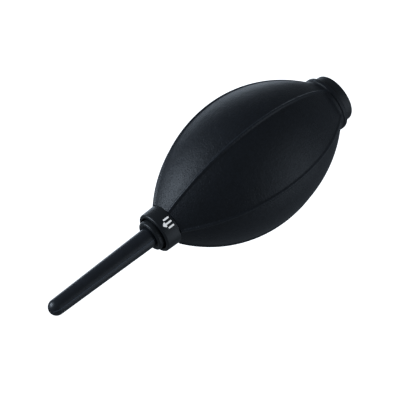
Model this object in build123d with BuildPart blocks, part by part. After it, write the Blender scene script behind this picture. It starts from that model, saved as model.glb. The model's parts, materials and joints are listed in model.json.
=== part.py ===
from build123d import *
import os
from math import cos, radians, sin, sqrt

# Dust blower bulb, standing on its rear cap with the nozzle up. Millimetres. +Z runs along the
# axis towards the nozzle's tip, and the origin is the centre of the rear cap's end.
# Squeezing the bulb blows air out past the outlet valve and through the nozzle. When the bulb
# springs back, it draws fresh air in through the cap's holes, the filter and the inlet valve.

# ---- Bulb ----
crown_radius = 28.65       # middle of a panel, half way up the bulb
front_radius = 8.9         # middle of a panel, where the bulb meets the collar
rear_radius = 10.9         # middle of a panel, where the bulb meets the rear bead
bulb_length = 90.8
bulb_wall = 2.2
panel_count = 6
panel_offset = 6.3         # a panel is curved about a line this far behind the bulb's axis
rib_width = 1.5
rib_rise = 0.4             # above the ridge where two panels meet
bead_radius = 12.8
bead_height = 2.4
bead_round = 0.9
rear_lip_height = 3.3      # solid rubber round the rear hole, above the bead
front_lip_height = 4.0     # solid rubber round the front hole, below the shoulder
neck_length = 4.0
neck_wall = 2.5            # rubber between the socket's barrel and the collar
thumb_width = 38.0         # the part of the wall that a thumb pushes in
thumb_length = 60.0
thumb_gap = 0.3

# ---- Front collar and its print ----
collar_length = 7.3
collar_front_wall = 1.5
collar_rear_wall = 1.7
collar_lip_round = 0.75
collar_bore_round = 0.45
print_thickness = 0.06
print_length = 4.4
print_spacing = 1.9
print_stroke = 0.75
print_barb_length = 1.8    # each half of the arrow's head
print_barb_turn = 45
print_turn = -81.4         # about the axis, from +X

# ---- Nozzle socket and nozzle ----
socket_nose_wall = 1.3     # at the nose's front, outside its countersink
socket_nose_gap = 0.8      # the open ring between the nose and the collar's mouth
socket_nose_stand_out = 2.4
socket_nose_round = 0.8
socket_barb_rise = 0.8
socket_barb_length = 1.8
countersink_depth = 0.7
countersink_spread = 0.95
spigot_radius = 3.0
spigot_clearance = 0.05
spigot_length = 10.0
nozzle_length = 54.3       # from its shoulder to its tip
nozzle_root_radius = 4.35
nozzle_tip_radius = 3.56
nozzle_root_clearance = 0.1
nozzle_bore_radius = 1.6
nozzle_outlet_radius = 0.9
nozzle_outlet_length = 5.0
o_ring_width = 1.1
o_ring_depth = 0.8

# ---- Outlet valve ----
outlet_chamber_radius = 3.4
outlet_chamber_length = 5.5
outlet_passage_radius = 2.0
outlet_passage_length = 1.5
outlet_seat_height = 1.4
outlet_port_radius = 1.7
outlet_disc_radius = 2.7
outlet_disc_height = 0.75
outlet_coil_radius = 2.4
outlet_wire_radius = 0.15
outlet_turns = 4

# ---- Rear plug and inlet valve ----
plug_radius = 7.5
plug_wall = 1.6
plug_flange_width = 2.1
plug_flange_height = 1.6
plug_barb_rise = 0.8
plug_barb_length = 2.0
plug_plate_height = 1.2
inlet_port_radius = 2.4
inlet_seat_width = 0.6
inlet_seal_height = 0.6
inlet_poppet_radius = 4.0
inlet_poppet_height = 0.8
inlet_stem_radius = 0.8
inlet_stem_length = 5.2
inlet_stem_clearance = 0.05
inlet_coil_radius = 2.0
inlet_wire_radius = 0.2
inlet_turns = 4
inlet_spring_height = 3.1
clip_height = 1.0
clip_hub_radius = 2.4
clip_rim_width = 0.9
clip_spoke_width = 1.2
seat_lip = 0.3             # both valves seal on a lip this high
valve_gap = 0.05           # between a closed valve and its lip
spring_gap = 0.03          # between a spring's end and the face it pushes on

# ---- Rear cap and filter ----
cap_wall = 1.3
cap_height = 4.7
cap_floor = 1.4
cap_gap = 0.13             # between the cap's rim and the bulb's bead
cap_clearance = 0.08
cap_end_round = 1.3
cap_rim_round = 0.3
cap_foot_width = 1.2
cap_foot_height = 0.4
cap_hole_radius = 0.9
cap_hole_circle_radius = 4.6
cap_hole_count = 8
screen_height = 0.3
screen_hole_radius = 0.4
screen_hole_spacing = 1.3
screen_ring_count = 4
filter_height = 5.2
filter_clearance = 0.15
filter_headroom = 1.0      # under the inlet valve's plate
seal_width = 0.8
seal_depth = 0.5

# ---- Radii and heights that follow from the sizes above ----
countersink_radius = nozzle_root_radius + nozzle_root_clearance
countersink_outer_radius = countersink_radius + countersink_spread
socket_nose_radius = countersink_outer_radius + socket_nose_wall
collar_bore_radius = socket_nose_radius + socket_nose_gap
collar_front_radius = collar_bore_radius + collar_front_wall
collar_rear_radius = collar_bore_radius + collar_rear_wall
socket_barrel_radius = collar_bore_radius - neck_wall
socket_bore_radius = spigot_radius + spigot_clearance
plug_bore_radius = plug_radius - plug_wall
plug_flange_radius = plug_radius + plug_flange_width
cap_bore_radius = plug_flange_radius + cap_clearance
cap_radius = cap_bore_radius + cap_wall
bead_bottom = cap_height + cap_gap
bulb_bottom = bead_bottom + bead_height
shoulder = bulb_bottom + bulb_length
neck_top = shoulder + neck_length
collar_top = shoulder + collar_length
nose_top = collar_top + socket_nose_stand_out
nozzle_bottom = nose_top - countersink_depth + nozzle_root_clearance
nozzle_top = nozzle_bottom + nozzle_length
spigot_bottom = nozzle_bottom - spigot_length
passage_top = spigot_bottom - nozzle_root_clearance
chamber_top = passage_top - outlet_passage_length
socket_bottom = chamber_top - outlet_chamber_length
plug_flange_bottom = bead_bottom - plug_flange_height
screen_top = cap_floor + screen_height
plug_plate_bottom = screen_top + filter_height + filter_headroom
inlet_lip_top = plug_plate_bottom + plug_plate_height + seat_lip
seal_bottom = inlet_lip_top + valve_gap
poppet_bottom = seal_bottom + inlet_seal_height
poppet_top = poppet_bottom + inlet_poppet_height
clip_bottom = poppet_top + inlet_spring_height
plug_top = clip_bottom + clip_height
outlet_lip_top = socket_bottom + outlet_seat_height + seat_lip
outlet_disc_bottom = outlet_lip_top + valve_gap
outlet_disc_top = outlet_disc_bottom + outlet_disc_height

# ---- The bulb's meridian: one arc through a panel's two ends and its crown ----
panel_arc = ThreePointArc(
    (rear_radius, bulb_bottom),
    (crown_radius, (bulb_bottom + shoulder) / 2),
    (front_radius, shoulder),
)
arc_centre = panel_arc.arc_center
arc_radius = panel_arc.radius

# Where two panels meet, the bulb is this much wider than in the middle of a panel.
panel_half_turn = radians(180 / panel_count)
ridge_rise = (
    sqrt((crown_radius + panel_offset) ** 2 - (panel_offset * sin(panel_half_turn)) ** 2)
    - panel_offset * cos(panel_half_turn)
    - crown_radius
)


def bulb_radius(height, rise=0.0):
    """The bulb's radius in the middle of a panel, or a rise above it, at a height."""
    return arc_centre.X + sqrt((arc_radius + rise) ** 2 - (height - arc_centre.Y) ** 2)


def upright_plane(turn, back=0.0):
    """A plane along +Z whose X points out at a turn from +X, set back behind the axis."""
    outwards = Vector(1, 0, 0).rotate(Axis.Z, turn)
    return Plane(outwards * -back, x_dir=outwards, z_dir=outwards.cross(Vector(0, 0, 1)))


def bulb_section(plane, bottom, top, rise=0.0, shift=0.0):
    """The bulb's half section between two heights, moved outwards by a shift."""
    heights = (bottom, (bottom + top) / 2, top)
    rim = [(bulb_radius(height, rise) + shift, height) for height in heights]
    with BuildSketch(plane) as section:
        with BuildLine():
            ThreePointArc(*rim)
            Polyline(rim[2], (0, top), (0, bottom), rim[0])
        make_face()
    return section.sketch


def outline(*points):
    """A closed outline of (radius, height) points, to be revolved about the axis."""
    with BuildSketch(Plane.XZ) as section:
        with BuildLine():
            Polyline(*points, close=True)
        make_face()
    return section.sketch


def ring_outline(outer, inner, bottom, top):
    """The outline of a plain ring about the axis."""
    return outline((inner, bottom), (outer, bottom), (outer, top), (inner, top))


def round_edges(part, radius, height):
    """The circular edges of a part that have this radius and height."""
    edges = part.edges().filter_by(GeomType.CIRCLE)
    edges = edges.filter_by(lambda edge: abs(edge.radius - radius) < 1e-4)
    return edges.filter_by(lambda edge: abs(edge.arc_center.Z - height) < 1e-4)


def coil_spring(radius, wire_radius, turns, bottom, top):
    """A coil spring between two faces, clear of both by the spring gap."""
    low = bottom + wire_radius + spring_gap
    height = top - wire_radius - spring_gap - low
    with BuildPart() as spring:
        with BuildLine():
            path = Helix(pitch=height / turns, height=height, radius=radius, center=(0, 0, low))
        with BuildSketch(Plane(path @ 0, z_dir=path % 0)):
            Circle(wire_radius)
        sweep(is_frenet=True)
    return spring


os.makedirs("parts", exist_ok=True)

# ---- The bulb as it is moulded, before the thumb's part of its wall is set apart ----
first_panel_turn = -90
panel_turns = [first_panel_turn + 360 / panel_count * n for n in range(panel_count)]
cavity_bottom = bulb_bottom + rear_lip_height
cavity_top = shoulder - front_lip_height

with BuildPart() as moulded_bulb:
    for turn in panel_turns:
        panel_plane = upright_plane(turn, back=panel_offset)
        revolve(
            bulb_section(panel_plane, bulb_bottom, shoulder, shift=panel_offset),
            axis=Axis(panel_plane.origin, (0, 0, 1)),
            mode=Mode.ADD if turn == first_panel_turn else Mode.INTERSECT,
        )
    for turn in panel_turns:
        rib_plane = upright_plane(turn + 180 / panel_count)
        extrude(
            bulb_section(rib_plane, bulb_bottom, shoulder, rise=ridge_rise + rib_rise),
            amount=rib_width / 2,
            both=True,
        )
    with BuildSketch(Plane.XY.offset(shoulder)):
        Circle(collar_bore_radius)
    extrude(amount=neck_length)
    with BuildSketch(Plane.XZ) as bead:
        with Locations((bead_radius / 2, bead_bottom + bead_height / 2)):
            Rectangle(bead_radius, bead_height)
        fillet(bead.vertices().group_by(Axis.X)[-1], bead_round)
    revolve(axis=Axis.Z)
    revolve(
        bulb_section(Plane.XZ, cavity_bottom, cavity_top, rise=-bulb_wall),
        axis=Axis.Z,
        mode=Mode.SUBTRACT,
    )
    with BuildSketch(Plane.XY.offset(bead_bottom)):
        Circle(plug_radius)
    extrude(amount=cavity_bottom - bead_bottom, mode=Mode.SUBTRACT)
    with BuildSketch(Plane.XY.offset(cavity_top)):
        Circle(socket_barrel_radius)
    extrude(amount=neck_top - cavity_top, mode=Mode.SUBTRACT)

thumb_plane = Plane((0, 0, (bulb_bottom + shoulder) / 2), x_dir=(1, 0, 0), z_dir=(0, -1, 0))

with BuildPart() as bulb_shell:
    add(moulded_bulb.part)
    with BuildSketch(thumb_plane):
        Ellipse(thumb_width / 2 + thumb_gap, thumb_length / 2 + thumb_gap)
    extrude(amount=crown_radius * 2, mode=Mode.SUBTRACT)
bulb_shell.part.label = "bulb_shell"
export_step(bulb_shell.part, "parts/bulb_shell.step")

with BuildPart() as thumb_panel:
    add(moulded_bulb.part)
    with BuildSketch(thumb_plane):
        Ellipse(thumb_width / 2, thumb_length / 2)
    extrude(amount=crown_radius * 2, mode=Mode.INTERSECT)
thumb_panel.part.label = "thumb_panel"
export_step(thumb_panel.part, "parts/thumb_panel.step")

# ---- Front collar: clamps the rubber neck on the socket, with an open mouth in front ----
with BuildPart() as front_collar:
    revolve(
        outline(
            (collar_bore_radius, shoulder),
            (collar_rear_radius, shoulder),
            (collar_front_radius, collar_top),
            (collar_bore_radius, collar_top),
        ),
        axis=Axis.Z,
    )
    fillet(round_edges(front_collar, collar_front_radius, collar_top), collar_lip_round)
    fillet(round_edges(front_collar, collar_bore_radius, collar_top), collar_bore_round)
front_collar.part.label = "front_collar"
export_step(front_collar.part, "parts/front_collar.step")

# An airflow mark of one arrow and two plain strokes, printed on the collar's side.
print_middle = (shoulder + collar_top - collar_lip_round) / 2
print_plane = Plane(
    (0, 0, print_middle),
    x_dir=upright_plane(print_turn + 90).x_dir,
    z_dir=upright_plane(print_turn).x_dir,
)
barb_reach = (print_barb_length - print_stroke) / 2 * sin(radians(print_barb_turn))
with BuildPart() as collar_print:
    revolve(
        outline(
            (collar_rear_radius, shoulder),
            (collar_rear_radius + print_thickness, shoulder),
            (collar_front_radius + print_thickness, collar_top),
            (collar_front_radius, collar_top),
        ),
        axis=Axis.Z,
    )
    with BuildSketch(print_plane):
        SlotOverall(print_length, print_stroke, rotation=90)
        for side in (-1, 1):
            with Locations((side * barb_reach, (print_length - print_stroke) / 2 - barb_reach)):
                SlotOverall(print_barb_length, print_stroke, rotation=90 + side * print_barb_turn)
            with Locations((side * print_spacing, -print_stroke)):
                SlotOverall(print_length - 2 * print_stroke, print_stroke, rotation=90)
    extrude(amount=collar_rear_radius * 2, mode=Mode.INTERSECT)
collar_print.part.label = "collar_print"
export_step(collar_print.part, "parts/collar_print.step")

# ---- Nozzle socket: pushed through the rubber neck until its barb snaps behind the lip ----
countersink_floor = nose_top - countersink_depth

with BuildPart() as nozzle_socket:
    revolve(
        outline(
            (outlet_chamber_radius, socket_bottom),
            (socket_barrel_radius, socket_bottom),
            (socket_barrel_radius, cavity_top - socket_barb_length),
            (socket_barrel_radius + socket_barb_rise, cavity_top),
            (socket_barrel_radius, cavity_top),
            (socket_barrel_radius, neck_top),
            (socket_nose_radius, neck_top),
            (socket_nose_radius, nose_top),
            (countersink_outer_radius, nose_top),
            (countersink_radius, countersink_floor),
            (socket_bore_radius, countersink_floor),
            (socket_bore_radius, passage_top),
            (outlet_passage_radius, passage_top),
            (outlet_passage_radius, chamber_top),
            (outlet_chamber_radius, chamber_top),
        ),
        axis=Axis.Z,
    )
    fillet(round_edges(nozzle_socket, socket_nose_radius, nose_top), socket_nose_round)
nozzle_socket.part.label = "nozzle_socket"
export_step(nozzle_socket.part, "parts/nozzle_socket.step")

# ---- Nozzle: a tapered tube with a round tip, and a spigot that pushes into the socket ----
groove_bottom = nozzle_bottom - spigot_length / 2
groove_top = groove_bottom + o_ring_width
groove_radius = spigot_radius - o_ring_depth
tip_centre = nozzle_top - nozzle_tip_radius
outlet_bottom = nozzle_top - nozzle_outlet_length

with BuildPart() as nozzle:
    with BuildSketch(Plane.XZ):
        with BuildLine():
            tip = RadiusArc(
                (nozzle_tip_radius, tip_centre), (0, nozzle_top), -nozzle_tip_radius
            )
            Polyline(
                (0, nozzle_top),
                (0, spigot_bottom),
                (spigot_radius, spigot_bottom),
                (spigot_radius, groove_bottom),
                (groove_radius, groove_bottom),
                (groove_radius, groove_top),
                (spigot_radius, groove_top),
                (spigot_radius, nozzle_bottom),
                (nozzle_root_radius, nozzle_bottom),
                (nozzle_tip_radius, tip_centre),
            )
        make_face()
    revolve(axis=Axis.Z)
    with BuildSketch(Plane.XZ):
        with BuildLine():
            Polyline(
                (0, spigot_bottom),
                (nozzle_bore_radius, spigot_bottom),
                (nozzle_bore_radius, outlet_bottom - nozzle_length / 3),
                (nozzle_outlet_radius, outlet_bottom),
                (nozzle_outlet_radius, nozzle_top),
                (0, nozzle_top),
                close=True,
            )
        make_face()
    revolve(axis=Axis.Z, mode=Mode.SUBTRACT)
nozzle.part.label = "nozzle"
export_step(nozzle.part, "parts/nozzle.step")

o_ring_radius = socket_bore_radius - spigot_clearance / 2
with BuildPart() as nozzle_o_ring:
    revolve(
        ring_outline(o_ring_radius, groove_radius, groove_bottom, groove_top),
        axis=Axis.Z,
    )
    o_ring_edges = round_edges(nozzle_o_ring, o_ring_radius, groove_bottom)
    o_ring_edges += round_edges(nozzle_o_ring, o_ring_radius, groove_top)
    fillet(o_ring_edges, o_ring_width / 3)
nozzle_o_ring.part.label = "nozzle_o_ring"
export_step(nozzle_o_ring.part, "parts/nozzle_o_ring.step")

# ---- Outlet valve: a sprung disc on a seat ring pressed into the socket's rear end ----
with BuildPart() as outlet_valve_seat:
    revolve(
        outline(
            (outlet_port_radius, socket_bottom),
            (outlet_chamber_radius, socket_bottom),
            (outlet_chamber_radius, outlet_lip_top - seat_lip),
            (outlet_port_radius + seat_lip * 2, outlet_lip_top - seat_lip),
            (outlet_port_radius + seat_lip, outlet_lip_top),
            (outlet_port_radius, outlet_lip_top),
        ),
        axis=Axis.Z,
    )
outlet_valve_seat.part.label = "outlet_valve_seat"
export_step(outlet_valve_seat.part, "parts/outlet_valve_seat.step")

with BuildPart() as outlet_valve_disc:
    with BuildSketch(Plane.XY.offset(outlet_disc_bottom)):
        Circle(outlet_disc_radius)
    extrude(amount=outlet_disc_height)
    fillet(round_edges(outlet_valve_disc, outlet_disc_radius, outlet_disc_top), seat_lip / 2)
outlet_valve_disc.part.label = "outlet_valve_disc"
export_step(outlet_valve_disc.part, "parts/outlet_valve_disc.step")

outlet_valve_spring = coil_spring(
    outlet_coil_radius, outlet_wire_radius, outlet_turns, outlet_disc_top, chamber_top
)
outlet_valve_spring.part.label = "outlet_valve_spring"
export_step(outlet_valve_spring.part, "parts/outlet_valve_spring.step")

# ---- Rear plug: flange under the bead, barb over the rubber lip, valve plate inside ----
seal_groove_bottom = plug_flange_bottom + (plug_flange_height - seal_width) / 2
seal_groove_radius = plug_flange_radius - seal_depth

with BuildPart() as rear_plug:
    revolve(
        outline(
            (plug_bore_radius, plug_flange_bottom),
            (plug_flange_radius, plug_flange_bottom),
            (plug_flange_radius, seal_groove_bottom),
            (seal_groove_radius, seal_groove_bottom),
            (seal_groove_radius, seal_groove_bottom + seal_width),
            (plug_flange_radius, seal_groove_bottom + seal_width),
            (plug_flange_radius, bead_bottom),
            (plug_radius, bead_bottom),
            (plug_radius, cavity_bottom),
            (plug_radius + plug_barb_rise, cavity_bottom),
            (plug_radius, cavity_bottom + plug_barb_length),
            (plug_radius, plug_top),
            (plug_bore_radius, plug_top),
            (plug_bore_radius, inlet_lip_top - seat_lip),
            (inlet_port_radius + inlet_seat_width, inlet_lip_top - seat_lip),
            (inlet_port_radius + inlet_seat_width / 2, inlet_lip_top),
            (inlet_port_radius, inlet_lip_top),
            (inlet_port_radius, plug_plate_bottom),
            (plug_bore_radius, plug_plate_bottom),
        ),
        axis=Axis.Z,
    )
rear_plug.part.label = "rear_plug"
export_step(rear_plug.part, "parts/rear_plug.step")

# ---- Inlet valve: a stemmed poppet with a soft seal under it, a spring and a spoked clip ----
with BuildPart() as inlet_valve_poppet:
    with BuildSketch(Plane.XY.offset(seal_bottom)):
        Circle(inlet_stem_radius)
    extrude(amount=inlet_seal_height)
    with BuildSketch(Plane.XY.offset(poppet_bottom)):
        Circle(inlet_poppet_radius)
    extrude(amount=inlet_poppet_height)
    with BuildSketch(Plane.XY.offset(poppet_top)):
        Circle(inlet_stem_radius)
    extrude(amount=inlet_stem_length)
inlet_valve_poppet.part.label = "inlet_valve_poppet"
export_step(inlet_valve_poppet.part, "parts/inlet_valve_poppet.step")

with BuildPart() as inlet_valve_seal:
    revolve(
        ring_outline(inlet_poppet_radius, inlet_stem_radius, seal_bottom, poppet_bottom),
        axis=Axis.Z,
    )
inlet_valve_seal.part.label = "inlet_valve_seal"
export_step(inlet_valve_seal.part, "parts/inlet_valve_seal.step")

inlet_valve_spring = coil_spring(
    inlet_coil_radius, inlet_wire_radius, inlet_turns, poppet_top, clip_bottom
)
inlet_valve_spring.part.label = "inlet_valve_spring"
export_step(inlet_valve_spring.part, "parts/inlet_valve_spring.step")

clip_window_radius = plug_bore_radius - clip_rim_width
clip_spoke_reach = clip_window_radius + plug_bore_radius
with BuildPart() as inlet_spring_clip:
    with BuildSketch(Plane.XY.offset(clip_bottom)):
        Circle(plug_bore_radius)
        Circle(clip_window_radius, mode=Mode.SUBTRACT)
        Rectangle(clip_spoke_reach, clip_spoke_width)
        Rectangle(clip_spoke_width, clip_spoke_reach)
        Circle(clip_hub_radius)
        Circle(inlet_stem_radius + inlet_stem_clearance, mode=Mode.SUBTRACT)
    extrude(amount=clip_height)
inlet_spring_clip.part.label = "inlet_spring_clip"
export_step(inlet_spring_clip.part, "parts/inlet_spring_clip.step")

# ---- Rear cap: pulls off the plug's flange, and holds the screen and the filter pad ----
with BuildPart() as rear_cap:
    with BuildSketch(Plane.XY):
        Circle(cap_radius)
    extrude(amount=cap_height)
    with BuildSketch(Plane.XY.offset(cap_floor)):
        Circle(cap_bore_radius)
    extrude(amount=cap_height - cap_floor, mode=Mode.SUBTRACT)
    fillet(round_edges(rear_cap, cap_radius, 0), cap_end_round)
    fillet(round_edges(rear_cap, cap_radius, cap_height), cap_rim_round)
    with BuildSketch(Plane.XY):
        Circle(cap_radius - cap_end_round - cap_foot_width)
    extrude(amount=cap_foot_height, mode=Mode.SUBTRACT)
    with BuildSketch(Plane.XY):
        Circle(cap_hole_radius)
        with PolarLocations(cap_hole_circle_radius, cap_hole_count):
            Circle(cap_hole_radius)
    extrude(amount=cap_floor, mode=Mode.SUBTRACT)
rear_cap.part.label = "rear_cap"
export_step(rear_cap.part, "parts/rear_cap.step")

with BuildPart() as cap_seal:
    revolve(
        ring_outline(
            plug_flange_radius + cap_clearance / 2,
            seal_groove_radius,
            seal_groove_bottom,
            seal_groove_bottom + seal_width,
        ),
        axis=Axis.Z,
    )
cap_seal.part.label = "cap_seal"
export_step(cap_seal.part, "parts/cap_seal.step")

with BuildPart() as filter_screen:
    with BuildSketch(Plane.XY.offset(cap_floor)):
        Circle(cap_bore_radius - cap_clearance)
        Circle(screen_hole_radius, mode=Mode.SUBTRACT)
        for ring in range(1, screen_ring_count + 1):
            with PolarLocations(ring * screen_hole_spacing, 6 * ring):
                Circle(screen_hole_radius, mode=Mode.SUBTRACT)
    extrude(amount=screen_height)
filter_screen.part.label = "filter_screen"
export_step(filter_screen.part, "parts/filter_screen.step")

with BuildPart() as filter_pad:
    with BuildSketch(Plane.XY.offset(screen_top)):
        Circle(plug_bore_radius - filter_clearance)
    extrude(amount=filter_height)
filter_pad.part.label = "filter_pad"
export_step(filter_pad.part, "parts/filter_pad.step")
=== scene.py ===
"""Looks of the dust blower: its rubber bulb, nozzle, collar, valves and rear cap, and the stage.

Laid out as an add-on and run as a script. Everything is in metres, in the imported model's own frame:
the blower stands on its rear cap, +Z runs up to the nozzle's tip, and -Y is the side that the thumb
presses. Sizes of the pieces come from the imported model's nodes and from the property groups.
"""

import json
import math

import bmesh
import bpy
import numpy as np
from bpy.props import FloatProperty, FloatVectorProperty, IntProperty, PointerProperty
from bpy.types import Operator, Panel, PropertyGroup
from mathutils import Matrix, Vector


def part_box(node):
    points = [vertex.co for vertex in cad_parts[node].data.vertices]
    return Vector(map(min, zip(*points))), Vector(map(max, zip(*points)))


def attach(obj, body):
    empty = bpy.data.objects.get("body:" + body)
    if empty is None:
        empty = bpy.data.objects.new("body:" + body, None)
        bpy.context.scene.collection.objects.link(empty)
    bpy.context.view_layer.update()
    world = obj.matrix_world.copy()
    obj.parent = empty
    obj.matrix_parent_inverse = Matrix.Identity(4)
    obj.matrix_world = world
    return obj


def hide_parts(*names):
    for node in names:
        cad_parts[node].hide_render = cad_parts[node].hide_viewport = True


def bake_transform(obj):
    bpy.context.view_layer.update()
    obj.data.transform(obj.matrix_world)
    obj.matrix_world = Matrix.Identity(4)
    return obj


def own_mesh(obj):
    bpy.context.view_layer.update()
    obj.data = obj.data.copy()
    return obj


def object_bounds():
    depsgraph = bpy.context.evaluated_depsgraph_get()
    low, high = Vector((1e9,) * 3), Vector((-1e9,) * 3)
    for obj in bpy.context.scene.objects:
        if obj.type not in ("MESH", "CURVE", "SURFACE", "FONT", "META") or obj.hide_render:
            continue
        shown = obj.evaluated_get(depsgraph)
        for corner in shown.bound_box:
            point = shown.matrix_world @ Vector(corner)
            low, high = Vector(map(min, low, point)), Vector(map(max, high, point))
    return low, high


bl_info = {
    "name": "Dust blower",
    "version": (1, 0, 0),
    "blender": (4, 5, 0),
    "location": "View3D > Sidebar > Blower",
    "description": "Models the outside of a hand dust blower round its packed parts",
    "category": "Object",
}

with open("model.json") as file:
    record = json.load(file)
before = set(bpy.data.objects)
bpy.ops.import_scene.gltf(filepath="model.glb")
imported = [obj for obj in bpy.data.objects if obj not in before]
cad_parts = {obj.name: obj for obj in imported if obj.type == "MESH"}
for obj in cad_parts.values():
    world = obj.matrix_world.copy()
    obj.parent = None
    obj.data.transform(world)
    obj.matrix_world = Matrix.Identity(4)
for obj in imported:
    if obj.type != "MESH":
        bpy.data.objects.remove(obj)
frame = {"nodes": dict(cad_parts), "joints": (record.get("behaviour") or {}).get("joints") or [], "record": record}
cad_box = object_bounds()

MM = 0.001

# Points this close count as one place or are merged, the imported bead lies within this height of
# the shell's end, and edges sharper than this many degrees stay crisp.
SAME_PLACE = MM * 0.01
MERGE_DISTANCE = MM * 0.002
BEAD_SLICE = MM * 1.3
SHARP_ANGLE = 40.0

# How far columns are drawn towards a rib or a mould line, from 0 to 1. A mould line starts this
# far above the nozzle's step, and only points outside this share of the tip's radius have it.
RIB_CROWDING = 0.8
MOULD_LINE_CROWDING = 0.85
MOULD_LINE_START = MM * 0.6
BORE_SHARE = 0.55

# Steps in the nozzle's dome and in rounded lips, small roundings, and the gaps that the socket
# leaves round the nozzle and its spigot.
DOME_STEPS = 20
LIP_STEPS = 8
SPIGOT_ROUND = MM * 0.3
MOUTH_ROUND = MM * 0.12
FOOT_ROUND = MM * 0.2
CLOSE_ROUND = MM * 0.1
BARB_ROUND = MM * 0.15
SPIGOT_GAP = MM * 0.1
POCKET_GAP = MM * 0.05

# Valve springs: turns of wire, points round it and along a turn, how much the ends close up.
COIL_TURNS = 4
WIRE_POINTS = 12
COIL_STEPS = 48
COIL_CLOSING = 0.35
COIL_SHARP_ANGLE = 60.0

# Filter pad: rounding of its edges, columns, and the waves that make its cut faces uneven. Each
# wave has a strength, then waves per metre and a start across X, and the same across Y.
FOAM_ROUND = MM * 0.5
FOAM_COLUMNS = 96
FOAM_SHARP_ANGLE = 80.0
FOAM_EDGE_STEPS = 5
FOAM_SIDE_ROWS = 6
FOAM_WAVES = ((1.0, 1900, 0.7, 1600, 0.3), (0.5, 4100, 0.0, 3700, 1.1))
FOAM_WAVE_DEPTH = MM * 0.03

# Lamps: name, width, and direction from the aim as shares of the camera's side, the level
# direction to the camera, and the axis.
LAMPS = (
    ("key", 0.35, (0.8, 0.0, 0.6)),
    ("fill", 0.45, (-0.5, 0.65, -0.55)),
    ("edge", 0.45, (-0.85, 0.25, -0.5)),
    ("rim", 0.4, (0.5, -0.75, -0.45)),
)
LAMP_DISTANCE = 0.65
LIGHT_COLOUR = (0.75, 0.865, 1.0)
WHITE = (1.0, 1.0, 1.0, 1.0)
SENSOR_WIDTH = 36.0
CLIP_START = 0.01
FLOOR_WIDTH = 8.0
FLOOR_GLOW = 0.97


# ---------------------------------------------------------------------------------------------
# Sizes and colours
# ---------------------------------------------------------------------------------------------


def length(name, description, millimetres):
    """A length property, given in millimetres and kept in metres."""
    return FloatProperty(
        name=name,
        description=description,
        default=millimetres * MM,
        subtype="DISTANCE",
        unit="LENGTH",
        precision=5,
    )


def angle(name, description, degrees):
    """An angle property, given in degrees and kept in radians."""
    return FloatProperty(
        name=name,
        description=description,
        default=math.radians(degrees),
        subtype="ANGLE",
        unit="ROTATION",
    )


def colour(name, description, red, green, blue):
    """A linear colour property."""
    return FloatVectorProperty(
        name=name,
        description=description,
        default=(red, green, blue),
        subtype="COLOR",
        min=0.0,
        max=1.0,
    )


class BlowerSizes(PropertyGroup):
    """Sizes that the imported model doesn't give."""

    panel_count: IntProperty(name="Panels", description="Curved panels round the bulb", default=6)
    panel_offset: length("Panel offset", "How far behind the axis a panel's own centre lies", 6.3)
    front_radius: length("Front radius", "The bulb's radius where it meets the collar", 8.9)
    rear_radius: length("Rear radius", "The bulb's radius where it meets the rear bead", 10.9)
    wall: length("Wall", "Thickness of the bulb's rubber", 2.2)
    rib_width: length("Rib width", "Width of the rib at each panel's seam", 1.9)
    rib_rise: length("Rib rise", "Height of a rib above the panels' ridge", 0.6)
    bead_height: length("Bead height", "Height of the rounded bead at the rear", 2.4)
    bead_round: length("Bead round", "Rounding of the bead's edges", 0.9)
    bead_step: length("Bead step", "How far the bead stands out from the bulb's end", 0.35)
    bead_blend: length("Bead blend", "Softness of the bend above the bead", 0.5)
    rear_hole: length("Rear hole", "Radius of the bulb's rear hole", 7.5)
    rear_lip: length("Rear lip", "Solid rubber above the bead", 3.3)
    front_hole: length("Front hole", "Radius of the bulb's front hole", 5.0)
    front_lip: length("Front lip", "Solid rubber below the shoulder", 4.0)
    neck_radius: length("Neck radius", "Outside of the bulb's neck, under the collar", 7.5)
    neck_length: length("Neck length", "Height of the neck above the shoulder", 4.0)
    collar_taper: length("Collar taper", "How much slimmer the collar's front is", 0.2)
    collar_lip: length("Collar lip", "Rounding of the collar's front edge", 0.75)
    collar_mouth: length("Collar mouth", "Rounding of the collar's mouth", 0.45)
    nose_round: length("Nose round", "Rounding of the socket's front edge", 0.8)
    countersink_depth: length("Countersink", "Depth of the socket's front recess", 0.7)
    countersink_spread: length("Recess spread", "How far the recess widens", 0.95)
    socket_barb_rise: length("Barb rise", "Height of the socket's barb", 0.8)
    socket_barb_length: length("Barb length", "Length of the socket's barb", 1.8)
    passage_radius: length("Passage radius", "Air passage above the outlet valve", 2.0)
    passage_length: length("Passage length", "Length of that air passage", 1.5)
    spigot_radius: length("Spigot radius", "The nozzle's end inside the socket", 3.0)
    spigot_length: length("Spigot length", "How deep the nozzle's end goes", 10.0)
    groove_depth: length("Groove depth", "Depth of the groove for the seal", 0.8)
    tip_radius: length("Tip radius", "Radius of the nozzle's round tip", 3.56)
    mouth_radius: length("Mouth radius", "Radius of the hole in the tip", 0.9)
    mouth_length: length("Mouth length", "Length of the narrow hole in the tip", 4.88)
    bore_taper: length("Bore taper", "Length over which the bore narrows", 18.1)
    nozzle_bore: length("Nozzle bore", "Radius of the nozzle's bore", 1.6)
    mould_line_width: length("Mould line width", "Width of the nozzle's mould line", 0.5)
    mould_line_rise: length("Mould line rise", "Height of the nozzle's mould line", 0.13)
    mould_line_turn: angle("Mould line turn", "Where the nozzle's first mould line is", -109.4)


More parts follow.
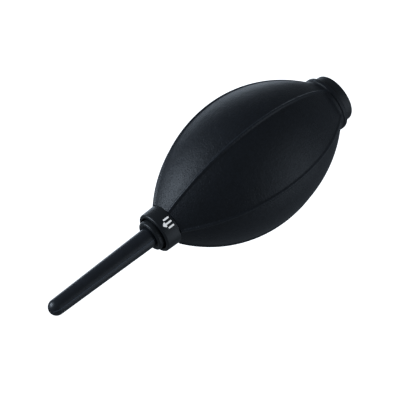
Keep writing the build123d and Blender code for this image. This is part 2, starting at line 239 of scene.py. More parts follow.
class BlowerColours(PropertyGroup):
    """Colours of the finishes, linear."""

    rubber: colour("Rubber", "Bulb", 0.0080, 0.0100, 0.0135)
    plastic: colour("Plastic", "Collar, socket and rear cap", 0.009, 0.011, 0.013)
    nozzle: colour("Nozzle", "Semi-gloss tube", 0.0140, 0.0168, 0.0220)
    ink: colour("Ink", "Printed airflow mark", 0.87, 0.88, 0.88)
    natural: colour("Natural plastic", "Valve bodies", 0.62, 0.63, 0.6)
    silicone: colour("Silicone", "Valve discs", 0.5, 0.55, 0.58)
    steel: colour("Steel", "Springs and screen", 0.55, 0.56, 0.57)
    foam: colour("Foam", "Filter pad", 0.78, 0.79, 0.76)


class BlowerStage(PropertyGroup):
    """Where the camera stands and how the stage is lit."""

    camera_distance: FloatProperty(
        name="Distance", description="Camera to the blower's middle", default=0.9, unit="LENGTH"
    )
    camera_turn: angle("Turn", "Camera's turn about the blower, from -Y towards +X", 8.6)
    camera_rise: angle("Rise", "Camera's height above the horizon", 23.0)
    camera_roll: angle("Roll", "How far the nozzle leans over to the left of upright", 127.045)
    view_width: FloatProperty(
        name="View width",
        description="Width that the camera sees at its distance",
        default=0.16667,
        unit="LENGTH",
    )
    aim_height: length("Aim height", "Height of the point on the axis at the view's middle", 79.6)
    aim_right: length("Aim right", "Shift of the aim to the view's right", 0.25)
    aim_up: length("Aim up", "Shift of the aim to the view's top", -0.33)
    key_power: FloatProperty(name="Key", description="Light on the nozzle's side", default=3.0)
    fill_power: FloatProperty(name="Fill", description="Light from the rear, in front", default=0.4)
    edge_power: FloatProperty(name="Edge", description="Light from the rear, below", default=0.5)
    rim_power: FloatProperty(name="Rim", description="Light from behind", default=0.7)
    sky: FloatProperty(name="Sky", description="Brightness of the surroundings", default=0.17)


# ---------------------------------------------------------------------------------------------
# Materials
# ---------------------------------------------------------------------------------------------


class Value:
    """A node's output that Python's arithmetic works on."""

    def __init__(self, shader, socket):
        self.shader = shader
        self.socket = socket

    def maths(self, operation, *others, swap=False):
        """One Math node on this value and up to two more."""
        inputs = [self, *others]
        if swap:
            inputs[:2] = inputs[1::-1]
        numbered = dict(enumerate(inputs))
        return self.shader.node("ShaderNodeMath", {"operation": operation}, numbered)

    def __add__(self, other):
        return self.maths("ADD", other)

    __radd__ = __add__

    def __mul__(self, other):
        return self.maths("MULTIPLY", other)

    __rmul__ = __mul__

    def __sub__(self, other):
        return self.maths("SUBTRACT", other)

    def __rsub__(self, other):
        return self.maths("SUBTRACT", other, swap=True)

    def ramp(self, low, high, start=0.0, end=1.0):
        """This value taken smoothly from low..high to start..end."""
        return self.shader.node(
            "ShaderNodeMapRange",
            {"interpolation_type": "SMOOTHSTEP"},
            {"Value": self, "From Min": low, "From Max": high, "To Min": start, "To Max": end},
        )


class Shader:
    """A Principled material that is put together node by node."""

    def __init__(self, name, **constants):
        self.material = bpy.data.materials.new(name)
        self.material.use_nodes = True
        self.tree = self.material.node_tree
        self.surface = self.tree.nodes["Principled BSDF"]
        for socket, value in constants.items():
            self.surface.inputs[socket.replace("_", " ")].default_value = value
        self.place = self.node("ShaderNodeTexCoord", {}, {}, "Object")

    def node(self, kind, settings, inputs, output=0):
        """Adds a node: its settings first, then the values or links of its sockets."""
        node = self.tree.nodes.new(kind)
        for name, value in settings.items():
            setattr(node, name, value)
        for key, value in inputs.items():
            self.put(node.inputs[key], value)
        return Value(self, node.outputs[output])

    def put(self, socket, value):
        """Links a value to a socket, or sets the socket to a plain number or colour."""
        if isinstance(value, Value):
            self.tree.links.new(value.socket, socket)
        else:
            socket.default_value = value

    def noise(self, size, detail=3.0, roughness=0.55, stretch=None):
        """Noise from 0 to 1 with features about this many metres across."""
        place = self.place
        if stretch:
            place = self.node("ShaderNodeMapping", {}, {"Vector": place, "Scale": stretch})
        inputs = {"Vector": place, "Scale": 1 / size, "Detail": detail, "Roughness": roughness}
        return self.node("ShaderNodeTexNoise", {}, inputs)

    def cells(self, size, output="Distance"):
        """Voronoi cells about this many metres across."""
        return self.node(
            "ShaderNodeTexVoronoi", {}, {"Vector": self.place, "Scale": 1 / size}, output
        )

    def mix(self, mask, first, second):
        """A colour from first to second by a mask."""
        node = self.tree.nodes.new("ShaderNodeMix")
        node.data_type = "RGBA"
        self.put(node.inputs["Factor"], mask)
        sockets = [s for s in node.inputs if s.type == "RGBA"]
        for socket, value in zip(sockets, (first, second)):
            self.put(socket, value if isinstance(value, Value) else (*value, 1.0))
        return Value(self, next(s for s in node.outputs if s.type == "RGBA"))

    def attribute(self, name):
        """A number kept on the mesh's points."""
        return self.node("ShaderNodeAttribute", {"attribute_name": name}, {}, "Fac")

    def bump(self, height, distance, strength=1.0):
        """Raises the surface by height times distance metres."""
        inputs = {"Height": height, "Distance": distance, "Strength": strength}
        self.put(self.surface.inputs["Normal"], self.node("ShaderNodeBump", {}, inputs))

    def finish(self, colour=None, roughness=None, metallic=None):
        """Links what varies over the surface, and returns the material."""
        for name, value in (
            ("Base Color", colour),
            ("Roughness", roughness),
            ("Metallic", metallic),
        ):
            if value is not None:
                self.put(self.surface.inputs[name], value)
        return self.material


def scaled(colour, factor):
    """A colour made lighter or darker."""
    return tuple(min(1.0, channel * factor) for channel in colour)


def rubber_material(colours):
    """Matte moulded rubber: fine grain, faint mottling, handling polish that makes the ribs less rough, and a
    painted highlight along each rib.
    """
    shader = Shader("bulb_rubber", IOR=1.42)
    mottle = shader.noise(0.018, detail=4.0)
    cloud = shader.noise(0.0028, detail=3.0)
    grain = shader.noise(0.0009, detail=3.0, roughness=0.7)
    pores = shader.cells(0.0009).ramp(0.0, 0.35)
    rib = shader.attribute("seam")
    colour = shader.mix(mottle, scaled(colours.rubber, 0.8), scaled(colours.rubber, 1.25))
    colour = shader.mix(grain.ramp(0.35, 0.7) * 0.5, colour, scaled(colours.rubber, 1.8))
    colour = shader.mix(cloud.ramp(0.4, 0.7) * 0.4, colour, scaled(colours.rubber, 0.5))
    # Painted highlight: the colour is made up to 2.2 times lighter along each rib, as a lit line.
    colour = shader.mix(rib * 0.5, colour, scaled(colours.rubber, 2.2))
    roughness = 0.31 + mottle * 0.08 + grain * 0.14 + cloud * 0.06 - rib * 0.06
    shader.bump(grain * 0.6 + pores * 0.25 + cloud * 0.4, 0.0004, 0.7)
    return shader.finish(colour, roughness)


def plastic_material(name, colour, base_roughness, texture_size, bump):
    """Moulded plastic: satin, with a spark-eroded texture, faint wear, and a painted highlight along a mould line
    marked on the mesh.
    """
    shader = Shader(name, IOR=1.5)
    wear = shader.noise(0.004, detail=5.0).ramp(0.45, 0.75)
    texture = shader.noise(texture_size, detail=3.0)
    shade = shader.mix(wear * 0.5, scaled(colour, 0.9), scaled(colour, 1.5))
    # Painted highlight: where the mesh marks a mould line, the colour is made up to seven times lighter.
    shade = shader.mix(shader.attribute("seam") * 0.8, shade, scaled(colour, 7.0))
    shader.bump(texture, bump, 0.6)
    return shader.finish(shade, base_roughness + texture * 0.08 + wear * 0.05)


def ink_material(colours):
    """Pad-printed ink: slightly uneven and matte, and glowing at half strength in its own colour, painted light
    that keeps the print white.
    """
    # Painted light: the ink glows in its own colour at half strength.
    shader = Shader("print_ink", Emission_Strength=0.5)
    shader.surface.inputs["Emission Color"].default_value = (*colours.ink, 1.0)
    pinholes = shader.noise(0.00025, detail=2.0).ramp(0.62, 0.8)
    patch = shader.noise(0.0012, detail=2.0)
    colour = shader.mix(patch * 0.4 + pinholes * 0.2, colours.ink, scaled(colours.ink, 0.8))
    shader.bump(patch, 0.00002)
    return shader.finish(colour, 0.5 + patch * 0.15)


def natural_material(colours):
    """Natural moulded plastic with flow lines along the axis."""
    shader = Shader("valve_plastic")
    flow = shader.noise(0.0015, detail=4.0, stretch=(1.0, 1.0, 0.2))
    colour = shader.mix(flow, scaled(colours.natural, 0.88), scaled(colours.natural, 1.08))
    shader.bump(shader.noise(0.0003), 0.00001)
    return shader.finish(colour, 0.38 + flow * 0.12)


def silicone_material(name, colour):
    """Soft silicone or rubber of a seal: bloom and a dull sheen."""
    shader = Shader(name, Sheen_Weight=0.15, IOR=1.42)
    bloom = shader.noise(0.001, detail=4.0)
    shade = shader.mix(bloom, scaled(colour, 0.85), scaled(colour, 1.15))
    shader.bump(shader.noise(0.0002), 0.00001)
    return shader.finish(shade, 0.5 + bloom * 0.2)


def steel_material(name, colours, stretch):
    """Drawn wire or rolled sheet: fine lines one way, slight tarnish."""
    shader = Shader(name)
    lines = shader.noise(0.0003, detail=3.0, stretch=stretch)
    tarnish = shader.noise(0.002, detail=4.0).ramp(0.4, 0.8)
    colour = shader.mix(tarnish, colours.steel, scaled(colours.steel, 0.75))
    shader.bump(lines, 0.000008)
    return shader.finish(colour, 0.22 + lines * 0.14 + tarnish * 0.1, 1.0 - tarnish * 0.1)


def foam_material(colours):
    """Open-cell foam: pores that are deeper than the struts and painted darker, as painted shade in the holes."""
    shader = Shader("filter_foam", Sheen_Weight=0.3)
    pores = shader.cells(0.0006).ramp(0.1, 0.45)
    clumps = shader.noise(0.0025, detail=3.0)
    # Painted shade: the pores are painted down to 0.45 of the foam's colour.
    colour = shader.mix(pores, scaled(colours.foam, 0.45), colours.foam)
    shader.bump(pores + clumps * 0.5, 0.00025)
    return shader.finish(colour, 0.85 + clumps * 0.1)


def paint(piece, material):
    """Gives a piece one material, in place of any that it has."""
    piece.data.materials.clear()
    piece.data.materials.append(material)


def paint_node(node, material):
    """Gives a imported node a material, without touching its mesh."""
    piece = frame["nodes"][node]
    for slot in piece.material_slots:
        slot.material = material


# ---------------------------------------------------------------------------------------------
# Modelling
# ---------------------------------------------------------------------------------------------


def deselect():
    """Leaves object mode's selection empty."""
    for piece in bpy.context.selected_objects:
        piece.select_set(False)


def between(first, last, share):
    """The point at a share of the way from one (radius, height) point to another."""
    return tuple(Vector(first).lerp(Vector(last), share))


def arc(centre, radius, start, end, steps):
    """Points of (radius, height) on an arc, from a start to an end angle in degrees."""
    angles = [math.radians(start + (end - start) * step / steps) for step in range(steps + 1)]
    return [
        (centre[0] + radius * math.cos(turn), centre[1] + radius * math.sin(turn))
        for turn in angles
    ]


def rounded(outline, roundings, steps=5):
    """A closed outline of (radius, height) points with some of its corners rounded.

    roundings gives, for a corner's place in the outline, the radius of its rounding.
    """
    result = []
    for index, corner in enumerate(outline):
        radius = roundings.get(index)
        here = Vector(corner)
        if not radius:
            result.append(corner)
            continue
        before = (Vector(outline[index - 1]) - here).normalized()
        after = (Vector(outline[(index + 1) % len(outline)]) - here).normalized()
        half = before.angle(after) / 2
        centre = here + (before + after).normalized() * (radius / math.sin(half))
        first = here + before * (radius / math.tan(half)) - centre
        last = here + after * (radius / math.tan(half)) - centre
        sweep = math.atan2(first.cross(last), first.dot(last))
        for step in range(steps + 1):
            turn = sweep * step / steps
            x = first.x * math.cos(turn) - first.y * math.sin(turn)
            y = first.x * math.sin(turn) + first.y * math.cos(turn)
            result.append((centre.x + x, centre.y + y))
    return result


def spun(name, outline, steps, closed=True, sharp=35.0):
    """A piece turned about the axis from an outline of (radius, height) points.

    A single point is extruded along the outline in edit mode and then spun through a full turn.
    An outline that isn't closed starts and ends on the axis.
    """
    deselect()
    bpy.ops.mesh.primitive_plane_add(size=MM, location=(0.0, 0.0, 0.0))
    piece = bpy.context.object
    piece.name = piece.data.name = name
    bpy.ops.object.mode_set(mode="EDIT")
    bpy.ops.mesh.select_mode(type="VERT")
    bpy.ops.mesh.select_all(action="SELECT")
    bpy.ops.mesh.merge(type="CENTER")
    bpy.ops.transform.translate(value=(outline[0][0], 0.0, outline[0][1]))
    for (from_radius, from_height), (to_radius, to_height) in zip(outline, outline[1:]):
        move = (to_radius - from_radius, 0.0, to_height - from_height)
        bpy.ops.mesh.extrude_region_move(TRANSFORM_OT_translate={"value": move})
    bpy.ops.mesh.select_all(action="SELECT")
    if closed:
        mesh = bmesh.from_edit_mesh(piece.data)
        mesh.verts.ensure_lookup_table()
        mesh.edges.new((mesh.verts[0], mesh.verts[-1]))
        bmesh.update_edit_mesh(piece.data)
        bpy.ops.mesh.select_all(action="SELECT")
    bpy.ops.mesh.spin(
        steps=steps, angle=2 * math.pi, center=(0.0, 0.0, 0.0), axis=(0.0, 0.0, 1.0)
    )
    bpy.ops.mesh.select_all(action="SELECT")
    bpy.ops.mesh.remove_doubles(threshold=MERGE_DISTANCE)
    bpy.ops.mesh.normals_make_consistent(inside=False)
    bpy.ops.object.mode_set(mode="OBJECT")
    smooth(piece, sharp)
    return piece


def smooth(piece, sharp):
    """Smooth shading with edges sharper than an angle in degrees left crisp."""
    deselect()
    piece.select_set(True)
    bpy.context.view_layer.objects.active = piece
    bpy.ops.object.shade_smooth_by_angle(angle=math.radians(sharp))


def points_of(piece):
    """The places of a mesh's points, as an array."""
    places = np.empty(len(piece.data.vertices) * 3)
    piece.data.vertices.foreach_get("co", places)
    return places.reshape(-1, 3)


def put_points(piece, places):
    """Moves a mesh's points."""
    piece.data.vertices.foreach_set("co", places.ravel())
    piece.data.update()


def round_axis(places):
    """The turns about the axis and the radii of an array of points."""
    return np.arctan2(places[:, 1], places[:, 0]), np.hypot(places[:, 0], places[:, 1])


def put_round_axis(piece, turns, radii, heights):
    """Moves a mesh's points to turns about the axis, radii and heights."""
    put_points(piece, np.column_stack((radii * np.cos(turns), radii * np.sin(turns), heights)))


def mark_points(piece, name, values):
    """Keeps a number on each of a mesh's points, for its material."""
    attribute = piece.data.attributes.new(name, "FLOAT", "POINT")
    attribute.data.foreach_set("value", values.astype(np.float32))


def dress(piece, body, slot, material, *nodes):
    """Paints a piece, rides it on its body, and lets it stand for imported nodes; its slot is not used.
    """
    paint(piece, material)
    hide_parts(*nodes)
    if body:
        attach(piece, body)


def panel_shape(turns, radii, sizes):
    """Radii of the six-panelled bulb at turns about the axis, from its radii between ribs.

    Each panel is curved about a line that lies a little behind the axis. The second result is how
    much of a rib there is at each point, from 0 to 1.
    """
    half_panel = math.pi / sizes.panel_count
    beside = (turns + half_panel + math.pi / 2) % (2 * half_panel) - half_panel
    offset = sizes.panel_offset
    reach = np.sqrt((radii + offset) ** 2 - (offset * np.sin(beside)) ** 2)
    curved = reach - offset * np.cos(beside)
    from_rib = (half_panel - np.abs(beside)) * radii / (sizes.rib_width / 2)
    rib = np.clip(1 - from_rib**2, 0, 1) ** 1.5
    return curved + rib * sizes.rib_rise, rib


def crowded(turns, panel_count, width):
    """Turns about the axis moved towards the ribs, so that the ribs have close-set columns."""
    panel = 2 * math.pi / panel_count
    start = -math.pi / 2 + panel / 2
    share = ((turns - start) / panel) % 1.0
    whole = np.floor((turns - start) / panel)
    eased = share - width * np.sin(2 * math.pi * share) / (2 * math.pi)
    return start + (whole + eased) * panel


def joint_travel(name):
    """How far a joint slides from rest, in metres."""
    return next(joint["range_m"][1] for joint in frame["joints"] if joint["name"] == name)


def circle_through(first, second, third):
    """Centre and radius of the circle through three points."""
    a, b = second - first, third - first
    cross = 2 * a.cross(b)
    centre = first + Vector(
        (
            (b.y * a.length_squared - a.y * b.length_squared) / cross,
            (a.x * b.length_squared - b.x * a.length_squared) / cross,
        )
    )
    return centre, (first - centre).length


def cad_bead_radius():
    """The radius of the bulb's rear bead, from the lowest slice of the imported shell."""
    places = points_of(frame["nodes"]["bulb_shell"])
    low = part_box("bulb_shell")[0].z
    radii = round_axis(places[places[:, 2] < low + BEAD_SLICE])[1]
    return float(radii.max())


class BLOWER_OT_bulb(Operator):
    """Models the moulded rubber bulb with its curved panels, ribs and rear bead"""

    bl_idname = "blower.bulb"
    bl_label = "Bulb"

    columns_per_panel: IntProperty(name="Columns", description="Columns in a panel", default=44)
    rows: IntProperty(name="Rows", description="Rows along a panel", default=140)

    def execute(self, context):
        sizes = context.scene.blower_sizes
        shell_low, shell_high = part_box("bulb_shell")
        thumb_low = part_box("thumb_panel")[0]
        shoulder = shell_high.z - sizes.neck_length
        bottom = shell_low.z + sizes.bead_height
        rear = Vector((sizes.rear_radius, bottom))
        crown = Vector((-thumb_low.y, (bottom + shoulder) / 2))
        front = Vector((sizes.front_radius, shoulder))
        centre, radius = circle_through(rear, crown, front)
        low = math.degrees(math.atan2(*reversed(rear - centre)))
        high = math.degrees(math.atan2(*reversed(front - centre)))
        outside = arc(centre, radius, low, high, self.rows)

        inner_radius = radius - sizes.wall
        cavity_top = shoulder - sizes.front_lip
        cavity_bottom = bottom + sizes.rear_lip
        inner_high = math.degrees(math.asin((cavity_top - centre.y) / inner_radius))
        inner_low = math.degrees(math.asin((cavity_bottom - centre.y) / inner_radius))
        inside = arc(centre, inner_radius, inner_high, inner_low, self.rows // 3)

        neck = [
            (sizes.neck_radius, shoulder),
            (sizes.neck_radius, shell_high.z),
            (sizes.front_hole, shell_high.z),
            (sizes.front_hole, cavity_top),
        ]
        bead_radius = cad_bead_radius()
        rim = rounded(
            [
                (sizes.rear_hole, cavity_bottom),
                (sizes.rear_hole, shell_low.z),
                (bead_radius, shell_low.z),
                (bead_radius, bottom - sizes.bead_step),
            ],
            {2: sizes.bead_round, 3: sizes.bead_step},
        )
        outline = outside + neck + inside + rim
        steps = sizes.panel_count * self.columns_per_panel
        bulb = spun("bulb_skin", outline, steps, sharp=SHARP_ANGLE)

        places = points_of(bulb)
        heights = places[:, 2]
        turns, radii = round_axis(places)
        turns = crowded(turns, sizes.panel_count, RIB_CROWDING)
        on_arc = np.hypot(radii - centre.x, heights - centre.y)
        outer = np.abs(on_arc - radius) < SAME_PLACE
        outer &= (heights > bottom - SAME_PLACE) & (heights < shoulder + SAME_PLACE)
        shaped, rib = panel_shape(turns, radii, sizes)
        apart = shaped - (bead_radius - sizes.bead_step)
        least = shaped + (np.hypot(apart, sizes.bead_blend) - apart) / 2
        shaped = np.where(heights < crown.y, least, shaped)
        put_round_axis(bulb, turns, np.where(outer, shaped, radii), heights)
        mark_points(bulb, "seam", np.where(outer, rib, 0.0))
        smooth(bulb, SHARP_ANGLE)

        material = rubber_material(context.scene.blower_colours)
        dress(bulb, None, "bulb_rubber", material, "bulb_shell", "thumb_panel")
        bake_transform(bulb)
        return {"FINISHED"}


class BLOWER_OT_nozzle(Operator):
    """Models the tapered nozzle with its bore, its seal groove and the two mould lines"""

    bl_idname = "blower.nozzle"
    bl_label = "Nozzle"

    columns: IntProperty(name="Columns", description="Columns round the nozzle", default=160)
    rows: IntProperty(name="Rows", description="Rows along the taper", default=40)

    def execute(self, context):
        sizes = context.scene.blower_sizes
        low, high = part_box("nozzle")
        groove_low, groove_high = (corner.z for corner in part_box("nozzle_o_ring"))
        spigot, mouth, tip = sizes.spigot_radius, sizes.mouth_radius, sizes.tip_radius
        root = low.z + sizes.spigot_length
        tip_centre = high.z - math.sqrt(tip**2 - mouth**2)
        taper_end = (tip, tip_centre)
        taper = [
            between((high.x, root), taper_end, row / self.rows) for row in range(1, self.rows)
        ]
        dome = arc((0.0, tip_centre), tip, 0.0, math.degrees(math.acos(mouth / tip)), DOME_STEPS)
        spigot_side = [
            (sizes.nozzle_bore, low.z),
            (spigot, low.z),
            (spigot, groove_low),
            (spigot - sizes.groove_depth, groove_low),
            (spigot - sizes.groove_depth, groove_high),
            (spigot, groove_high),
            (spigot, root),
            (high.x, root),
        ]
        bore = [
            (mouth, high.z - sizes.mouth_length),
            (sizes.nozzle_bore, high.z - sizes.mouth_length - sizes.bore_taper),
        ]
        outline = spigot_side + taper + dome + bore
        step_corner = len(spigot_side) - 1
        mouth_corner = step_corner + len(taper) + len(dome)
        roundings = {1: SPIGOT_ROUND, step_corner: SPIGOT_ROUND, mouth_corner: MOUTH_ROUND}
        nozzle = spun("nozzle_skin", rounded(outline, roundings), self.columns)

        places = points_of(nozzle)
        turns, radii = round_axis(places)
        turns = crowded(turns, 2, MOULD_LINE_CROWDING)
        beside = (turns + math.pi / 2) % math.pi - math.pi / 2
        line = np.clip(1 - (beside * radii / (sizes.mould_line_width / 2)) ** 2, 0, 1)
        outside = (radii > tip * BORE_SHARE) & (places[:, 2] > root + MOULD_LINE_START)
        radii += np.where(outside, line * sizes.mould_line_rise, 0.0)
        put_round_axis(nozzle, turns + sizes.mould_line_turn, radii, places[:, 2])
        mark_points(nozzle, "seam", np.where(outside, line, 0.0))
        smooth(nozzle, SHARP_ANGLE)
        colour = context.scene.blower_colours.nozzle
        material = plastic_material(
            "nozzle_plastic", colour, base_roughness=0.3, texture_size=0.0005, bump=0.000012
        )
        dress(nozzle, "nozzle_tube", "nozzle_plastic", material, "nozzle")
        return {"FINISHED"}


class BLOWER_OT_collar(Operator):
    """Models the clamp collar and the socket's front, with their rounded lips"""

    bl_idname = "blower.collar"
    bl_label = "Collar and socket"

    columns: IntProperty(name="Columns", description="Columns round a piece", default=160)

    def execute(self, context):
        sizes = context.scene.blower_sizes
        colour = context.scene.blower_colours.plastic
        material = plastic_material(
            "collar_plastic", colour, base_roughness=0.36, texture_size=0.0004, bump=0.00002
        )

        low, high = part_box("front_collar")
        outline = [
            (sizes.neck_radius, low.z),
            (high.x, low.z),
            (high.x - sizes.collar_taper, high.z),
            (sizes.neck_radius, high.z),
        ]
        roundings = {0: CLOSE_ROUND, 1: FOOT_ROUND, 2: sizes.collar_lip, 3: sizes.collar_mouth}
        collar = spun("collar_skin", rounded(outline, roundings, LIP_STEPS), self.columns)
        dress(collar, "housing", "collar_plastic", material, "front_collar")

        low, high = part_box("nozzle_socket")
        valve_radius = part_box("outlet_valve_seat")[1].x
        neck_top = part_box("bulb_shell")[1].z
        snap = neck_top - sizes.neck_length - sizes.front_lip
        nozzle_low, nozzle_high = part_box("nozzle")
        root = nozzle_high.x + SPIGOT_GAP
        floor = high.z - sizes.countersink_depth
        pocket = sizes.spigot_radius + POCKET_GAP
        pocket_end = nozzle_low.z - SPIGOT_GAP
        passage_end = pocket_end - sizes.passage_length
        outline = [
            (valve_radius, low.z),
            (sizes.front_hole, low.z),
            (sizes.front_hole, snap - sizes.socket_barb_length),
            (sizes.front_hole + sizes.socket_barb_rise, snap),
            (sizes.front_hole, snap),
            (sizes.front_hole, neck_top),
            (high.x, neck_top),
            (high.x, high.z),
            (root + sizes.countersink_spread, high.z),
            (root, floor),
            (pocket, floor),
            (pocket, pocket_end),
            (sizes.passage_radius, pocket_end),
            (sizes.passage_radius, passage_end),
            (valve_radius, passage_end),
        ]
        roundings = {3: BARB_ROUND, 6: FOOT_ROUND, 7: sizes.nose_round, 8: BARB_ROUND}
        socket = spun("socket_skin", rounded(outline, roundings, LIP_STEPS), self.columns)
        dress(socket, "housing", "collar_plastic", material, "nozzle_socket")
        return {"FINISHED"}


class BLOWER_OT_springs(Operator):
    """Models the two coil springs"""

    bl_idname = "blower.springs"
    bl_label = "Valve springs"

    def execute(self, context):
        material = steel_material("spring_steel", context.scene.blower_colours, (1.0, 1.0, 3.0))
        for name, joint, wire in (
            ("inlet_coil", "inlet_valve_lift", MM * 0.2),
            ("outlet_coil", "outlet_valve_lift", MM * 0.15),
        ):
            node = name.replace("coil", "valve_spring")
            low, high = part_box(node)
            coil = self.coil(name, low, high, wire)
            dress(coil, "housing", "spring_steel", material, node)
            1 - joint_travel(joint) / (high.z - low.z)
            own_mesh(coil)
        return {"FINISHED"}

    def coil(self, name, low, high, wire):
        """A round wire wound between two heights, its end turns closer than the rest."""
        deselect()
        radius, bottom, rise = high.x - wire, low.z + wire, high.z - low.z - 2 * wire
        bpy.ops.mesh.primitive_circle_add(
            vertices=WIRE_POINTS,
            radius=wire,
            location=(radius, 0.0, bottom),
            rotation=(math.pi / 2, 0, 0),
        )
        piece = bpy.context.object
        piece.name = piece.data.name = name
        bpy.ops.object.transform_apply(location=True, rotation=True, scale=True)
        bpy.ops.object.modifier_add(type="SCREW")
        winding = piece.modifiers[-1]
        winding.axis = "Z"
        pitch = rise / COIL_TURNS
        winding.screw_offset = pitch
        winding.iterations = COIL_TURNS
        winding.steps = winding.render_steps = COIL_STEPS
        bpy.ops.object.modifier_apply(modifier=winding.name)
        bpy.ops.object.mode_set(mode="EDIT")
        bpy.ops.mesh.select_mode(type="EDGE")
        bpy.ops.mesh.select_all(action="DESELECT")
        bpy.ops.mesh.select_non_manifold(extend=False)
        bpy.ops.mesh.fill_holes(sides=0)
        bpy.ops.mesh.select_all(action="SELECT")
        bpy.ops.mesh.normals_make_consistent(inside=False)
        bpy.ops.object.mode_set(mode="OBJECT")

        places = points_of(piece)
        share = np.arctan2(places[:, 1], places[:, 0]) / (2 * math.pi) % 1.0
        wound = np.round((places[:, 2] - bottom) / pitch - share) + share
        closing = COIL_CLOSING * np.sin(2 * math.pi * wound / COIL_TURNS) / (2 * math.pi)
        places[:, 2] -= closing * rise
        put_points(piece, places)
        smooth(piece, COIL_SHARP_ANGLE)
        return piece


class BLOWER_OT_cap(Operator):
    """Gives the rear cap its moulded plastic finish"""

    bl_idname = "blower.cap"
    bl_label = "Rear cap"

    def execute(self, context):
        colour = context.scene.blower_colours.plastic
        material = plastic_material(
            "cap_plastic", colour, base_roughness=0.45, texture_size=0.0004, bump=0.00003
        )
        paint_node("rear_cap", material)
        return {"FINISHED"}


class BLOWER_OT_filter(Operator):
    """Models the foam filter pad, cut a little unevenly and soft at its edges"""

    bl_idname = "blower.filter"
    bl_label = "Filter pad"

    rings: IntProperty(name="Rings", description="Rings on each face", default=16)

    def execute(self, context):
        low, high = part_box("filter_pad")
        corner = high.x - FOAM_ROUND
        across = [corner * ring / self.rings for ring in range(self.rings)]
        lower = [(reach, low.z) for reach in across]
        upper = [(reach, high.z) for reach in reversed(across)]
        lower_edge = arc((corner, low.z + FOAM_ROUND), FOAM_ROUND, -90.0, 0.0, FOAM_EDGE_STEPS)
        upper_edge = arc((corner, high.z - FOAM_ROUND), FOAM_ROUND, 0.0, 90.0, FOAM_EDGE_STEPS)
        side = [
            between(lower_edge[-1], upper_edge[0], row / FOAM_SIDE_ROWS)
            for row in range(1, FOAM_SIDE_ROWS)
        ]
        outline = lower + lower_edge + side + upper_edge + upper
        pad = spun("filter_foam_pad", outline, FOAM_COLUMNS, closed=False, sharp=FOAM_SHARP_ANGLE)

        places = points_of(pad)
        middle = np.array((0.0, 0.0, (low.z + high.z) / 2))
        worn = np.zeros(len(places))
        for strength, x_waves, x_start, y_waves, y_start in FOAM_WAVES:
            across_x = np.sin(places[:, 0] * x_waves + x_start)
            across_y = np.sin(places[:, 1] * y_waves + y_start)
            worn += strength * (1 + across_x * across_y)
        inwards = 1 - FOAM_WAVE_DEPTH * worn[:, None] / (high.z - middle[2])
        put_points(pad, (places - middle) * inwards + middle)
        material = foam_material(context.scene.blower_colours)
        dress(pad, "filter_cap", "filter_foam", material, "filter_pad")
        return {"FINISHED"}


class BLOWER_OT_finishes(Operator):
    """Gives the valves, seals, screen and printed mark their finishes"""

    bl_idname = "blower.finishes"
    bl_label = "Finishes inside"

    def execute(self, context):
        colours = context.scene.blower_colours
        finishes = {
            "print_ink": ink_material(colours),
            "valve_plastic": natural_material(colours),
            "valve_silicone": silicone_material("valve_silicone", colours.silicone),
            "seal_rubber": silicone_material("seal_rubber", colours.rubber),
            "screen_steel": steel_material("screen_steel", colours, (4.0, 1.0, 1.0)),
        }
        for part in frame["record"]["subparts"]:
            if part["material_slot"] in finishes:
                paint_node(part["node"], finishes[part["material_slot"]])
        return {"FINISHED"}


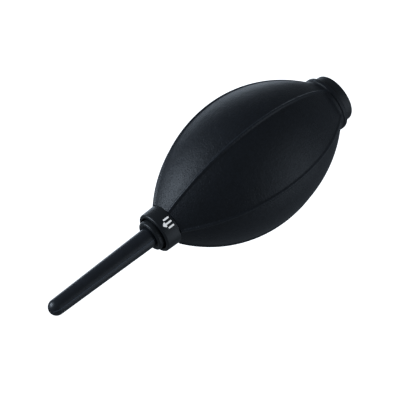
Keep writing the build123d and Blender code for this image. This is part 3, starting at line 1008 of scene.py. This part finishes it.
class BLOWER_OT_stage(Operator):
    """Sets the floor, the surroundings, the lights and the camera"""

    bl_idname = "blower.stage"
    bl_label = "Stage"

    def execute(self, context):
        stage = context.scene.blower_stage
        turn, rise, roll = stage.camera_turn, stage.camera_rise, stage.camera_roll
        level = Vector((math.sin(turn), -math.cos(turn), 0.0))
        back = level * math.cos(rise) + Vector((0.0, 0.0, math.sin(rise)))
        side = Vector((math.cos(turn), math.sin(turn), 0.0))
        over = back.cross(side)
        right = side * math.cos(roll) - over * math.sin(roll)
        up = side * math.sin(roll) + over * math.cos(roll)
        aim = Vector((0.0, 0.0, stage.aim_height))
        aim += right * stage.aim_right + up * stage.aim_up

        camera_data = bpy.data.cameras.new("camera")
        camera = bpy.data.objects.new("camera", camera_data)
        context.scene.collection.objects.link(camera)
        camera_data.sensor_width = SENSOR_WIDTH
        camera_data.lens = SENSOR_WIDTH * stage.camera_distance / stage.view_width
        camera_data.clip_start = CLIP_START
        camera.location = aim + back * stage.camera_distance
        camera.rotation_euler = view_turn(right, up, back)
        context.scene.camera = camera

        axis = Vector((0.0, 0.0, 1.0))
        for name, width, (across, towards, along) in LAMPS:
            power = getattr(stage, f"{name}_power")
            direction = side * across + level * towards + axis * along
            self.lamp(context, name, power, width, aim, direction.normalized() * LAMP_DISTANCE)
        self.floor(context)
        self.surroundings(context, stage.sky)
        context.scene.view_settings.view_transform = "Standard"
        return {"FINISHED"}

    def lamp(self, context, name, power, width, aim, offset):
        """A square soft light that faces the aim."""
        data = bpy.data.lights.new(name, "AREA")
        data.energy = power
        data.color = LIGHT_COLOUR
        data.size = width
        lamp = bpy.data.objects.new(name, data)
        context.scene.collection.objects.link(lamp)
        lamp.location = aim + offset
        lamp.rotation_euler = offset.to_track_quat("Z", "Y").to_euler()

    def floor(self, context):
        """A wide white floor that glows like a light table, clear of the cap when it is off."""
        deselect()
        height = cad_box[0].z - joint_travel("cap_pull") - MM
        bpy.ops.mesh.primitive_plane_add(size=FLOOR_WIDTH, location=(0.0, 0.0, height))
        floor = context.object
        floor.name = "floor"
        shader = Shader("floor", Roughness=0.9, Emission_Strength=FLOOR_GLOW)
        shader.surface.inputs["Emission Color"].default_value = WHITE
        tint = shader.noise(0.5, detail=1.0)
        shade = shader.mix(tint, (0.9, 0.9, 0.9), (0.93, 0.93, 0.93))
        paint(floor, shader.finish(shade))
        floor.visible_diffuse = floor.visible_glossy = floor.visible_shadow = False

    def surroundings(self, context, brightness):
        """A dim, even sky for the blower, with plain white behind it for the camera."""
        world = bpy.data.worlds.new("surroundings")
        world.use_nodes = True
        tree = world.node_tree
        sky = tree.nodes["Background"]
        sky.inputs["Color"].default_value = (*LIGHT_COLOUR, 1.0)
        sky.inputs["Strength"].default_value = brightness
        backdrop = tree.nodes.new("ShaderNodeBackground")
        backdrop.inputs["Color"].default_value = WHITE
        choice = tree.nodes.new("ShaderNodeMixShader")
        ray = tree.nodes.new("ShaderNodeLightPath")
        tree.links.new(ray.outputs["Is Camera Ray"], choice.inputs["Fac"])
        tree.links.new(sky.outputs["Background"], choice.inputs[1])
        tree.links.new(backdrop.outputs["Background"], choice.inputs[2])
        tree.links.new(choice.outputs["Shader"], tree.nodes["World Output"].inputs["Surface"])
        context.scene.world = world


def view_turn(right, up, back):
    """The rotation of a camera with these directions, as Euler angles."""
    return Matrix((right, up, back)).transposed().to_euler()


class BLOWER_PT_pieces(Panel):
    """Lists the blower's pieces and its sizes, colours and stage."""

    bl_label = "Dust blower"
    bl_idname = "BLOWER_PT_pieces"
    bl_space_type = "VIEW_3D"
    bl_region_type = "UI"
    bl_category = "Blower"

    def draw(self, context):
        for operator in OPERATORS:
            self.layout.operator(operator.bl_idname)
        for group in GROUPS:
            settings = getattr(context.scene, GROUPS[group])
            for name in group.__annotations__:
                self.layout.prop(settings, name)


GROUPS = {
    BlowerSizes: "blower_sizes",
    BlowerColours: "blower_colours",
    BlowerStage: "blower_stage",
}
OPERATORS = (
    BLOWER_OT_bulb,
    BLOWER_OT_collar,
    BLOWER_OT_nozzle,
    BLOWER_OT_cap,
    BLOWER_OT_springs,
    BLOWER_OT_filter,
    BLOWER_OT_finishes,
    BLOWER_OT_stage,
)


def register():
    """Registers the classes and hangs the property groups on the scene."""
    for group, name in GROUPS.items():
        bpy.utils.register_class(group)
        setattr(bpy.types.Scene, name, PointerProperty(type=group))
    for kind in (*OPERATORS, BLOWER_PT_pieces):
        bpy.utils.register_class(kind)


def unregister():
    """Takes everything that register added away again."""
    for kind in reversed((*OPERATORS, BLOWER_PT_pieces)):
        bpy.utils.unregister_class(kind)
    for group, name in GROUPS.items():
        delattr(bpy.types.Scene, name)
        bpy.utils.unregister_class(group)


def main():
    """Makes every piece and the stage."""
    register()
    for operator in OPERATORS:
        group, name = operator.bl_idname.split(".")
        getattr(getattr(bpy.ops, group), name)()


if __name__ == "__main__":
    main()
